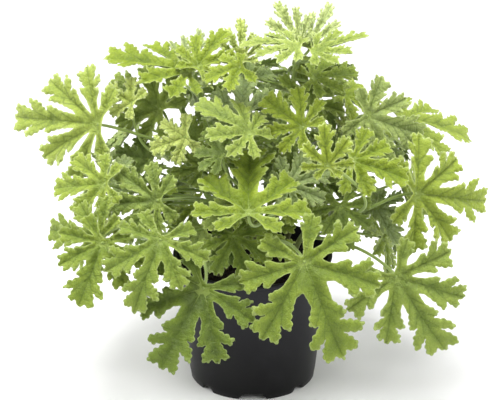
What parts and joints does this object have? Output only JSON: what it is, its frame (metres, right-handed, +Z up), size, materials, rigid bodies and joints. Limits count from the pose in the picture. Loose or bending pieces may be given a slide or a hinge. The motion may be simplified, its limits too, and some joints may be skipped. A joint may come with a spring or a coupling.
{
  "type": "potted scented geranium",
  "caption": "Bushy scented geranium with deeply cut, toothed green leaves on long stalks, growing in a plain black tapered nursery pot with a notched foot.",
  "frame": {"origin": "on the pot's axis, at the surface that the pot's foot stands on", "axes": "+Z up along the pot's axis, +X to the right across the widest spread of the leaves, -Y toward the front"},
  "size_m": [0.3449, 0.2716, 0.2873],
  "materials": {
    "pot_plastic": "black moulded plastic, satin, with fine moulding marks and a trace of dust",
    "potting_soil": "dark damp peat with small fibres and lighter grains",
    "foliage": "soft, finely hairy yellow-green leaves with a dull sheen"
  },
  "bodies": {
    "root": {"pot": "pot_plastic", "soil": "potting_soil", "shoot_01": "foliage", "shoot_02": "foliage", "shoot_03": "foliage", "shoot_04": "foliage", "shoot_05": "foliage", "shoot_06": "foliage", "shoot_07": "foliage", "shoot_08": "foliage", "shoot_09": "foliage", "shoot_10": "foliage"}
  },
  "joints": []
}
